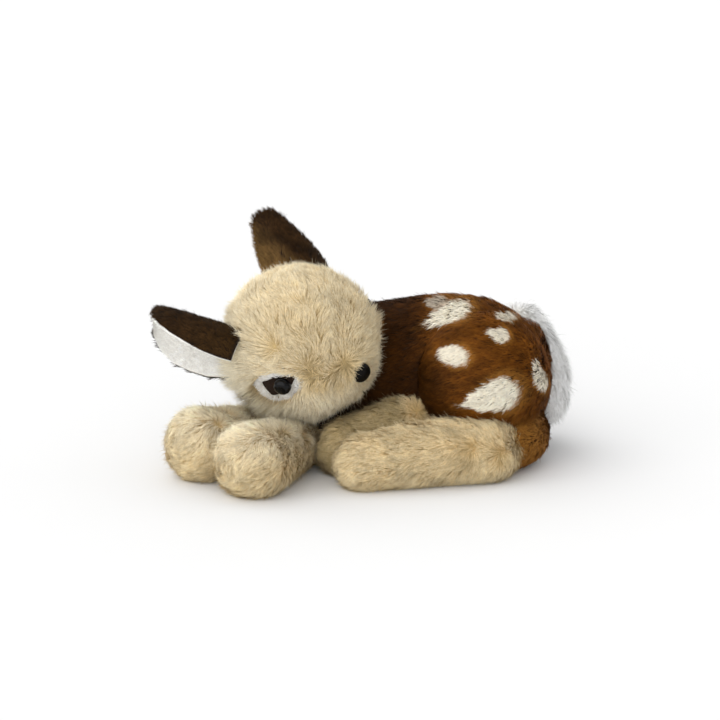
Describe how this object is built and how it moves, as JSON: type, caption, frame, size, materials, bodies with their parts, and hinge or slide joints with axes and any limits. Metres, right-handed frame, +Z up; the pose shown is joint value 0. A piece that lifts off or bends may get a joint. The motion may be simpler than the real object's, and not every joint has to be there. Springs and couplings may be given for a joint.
{
  "type": "plush deer",
  "caption": "Curled-up plush fawn with its head turned back, long soft pile, a spotted body, cupped ears, button eyes and nose, and a short tail.",
  "frame": {"origin": "under the middle of the whole toy, on the floor that it lies on", "axes": "+X to the rump, +Y behind the back, +Z up"},
  "size_m": [0.2854, 0.1738, 0.1664],
  "materials": {
    "cream_plush": "long pile",
    "brown_plush": "long pile with pale spots",
    "beige_plush": "long pile",
    "white_plush": "soft pile",
    "dark_plush": "short pile",
    "stuffing": "loose fibre",
    "bag_cloth": "plain weave",
    "eye_gloss": "glossy",
    "nose_gloss": "glossy, grained",
    "washer_plastic": "matte"
  },
  "bodies": {
    "torso": {"torso_skin": "brown_plush", "belly_panel": "beige_plush", "pellet_bag": "bag_cloth", "torso_stuffing": "stuffing", "left_haunch_skin": "brown_plush", "left_haunch_stuffing": "stuffing", "right_haunch_skin": "brown_plush", "right_haunch_stuffing": "stuffing"},
    "head": {"left_eye_field": "white_plush", "left_eye_patch": "dark_plush", "left_eye": "eye_gloss", "left_eye_washer": "washer_plastic", "right_eye_field": "white_plush", "right_eye_patch": "dark_plush", "right_eye": "eye_gloss", "right_eye_washer": "washer_plastic", "nose": "nose_gloss", "nose_washer": "washer_plastic", "head_skin": "cream_plush", "head_stuffing": "stuffing"},
    "left_ear": {"left_ear_back": "dark_plush", "left_ear_lining": "white_plush"},
    "right_ear": {"right_ear_back": "dark_plush", "right_ear_lining": "white_plush"},
    "tail": {"tail_skin": "white_plush", "tail_stuffing": "stuffing"},
    "left_foreleg": {"left_foreleg_skin": "beige_plush", "left_foreleg_stuffing": "stuffing"},
    "right_foreleg": {"right_foreleg_skin": "beige_plush", "right_foreleg_stuffing": "stuffing"},
    "left_hind_leg": {"left_hind_leg_skin": "beige_plush", "left_hind_leg_stuffing": "stuffing"},
    "right_hind_leg": {"right_hind_leg_skin": "beige_plush", "right_hind_leg_stuffing": "stuffing"}
  },
  "joints": [
    {"name": "neck_lift", "type": "hinge", "parent": "torso", "child": "head", "pos_m": [-0.04512, 0.03807, 0.06105], "axis": [-0.6495, -0.5897, -0.48], "range_deg": [0, 25]},
    {"name": "left_ear_bend", "type": "hinge", "parent": "head", "child": "left_ear", "pos_m": [-0.04026, 0.03903, 0.12847], "axis": [-0.8719, -0.2764, -0.4042], "range_deg": [-20, 20], "stiffness_Nm_per_rad": 0.12},
    {"name": "right_ear_bend", "type": "hinge", "parent": "head", "child": "right_ear", "pos_m": [-0.08713, -0.00353, 0.09383], "axis": [0.0107, -0.6624, 0.7491], "range_deg": [-20, 20], "stiffness_Nm_per_rad": 0.12},
    {"name": "tail_lift", "type": "hinge", "parent": "torso", "child": "tail", "pos_m": [0.11407, 0.04653, 0.08603], "axis": [0.6018, -0.7986, 0], "range_deg": [0, 25]},
    {"name": "left_foreleg_swing", "type": "hinge", "parent": "torso", "child": "left_foreleg", "pos_m": [-0.04031, 0.00564, 0.01558], "axis": [0, 0, 1], "range_deg": [0, 8], "stiffness_Nm_per_rad": 0.15},
    {"name": "right_foreleg_swing", "type": "hinge", "parent": "torso", "child": "right_foreleg", "pos_m": [-0.06023, 0.0329, 0.01558], "axis": [0, 0, -1], "range_deg": [0, 24], "stiffness_Nm_per_rad": 0.15},
    {"name": "left_hind_leg_swing", "type": "hinge", "parent": "torso", "child": "left_hind_leg", "pos_m": [0.08967, -0.02914, 0.02], "axis": [0, 0, 1], "range_deg": [0, 35], "stiffness_Nm_per_rad": 0.15},
    {"name": "right_hind_leg_lift", "type": "hinge", "parent": "torso", "child": "right_hind_leg", "pos_m": [0.05348, 0.01175, 0.0284], "axis": [-0.4384, 0.8988, 0], "range_deg": [0, 9]}
  ]
}
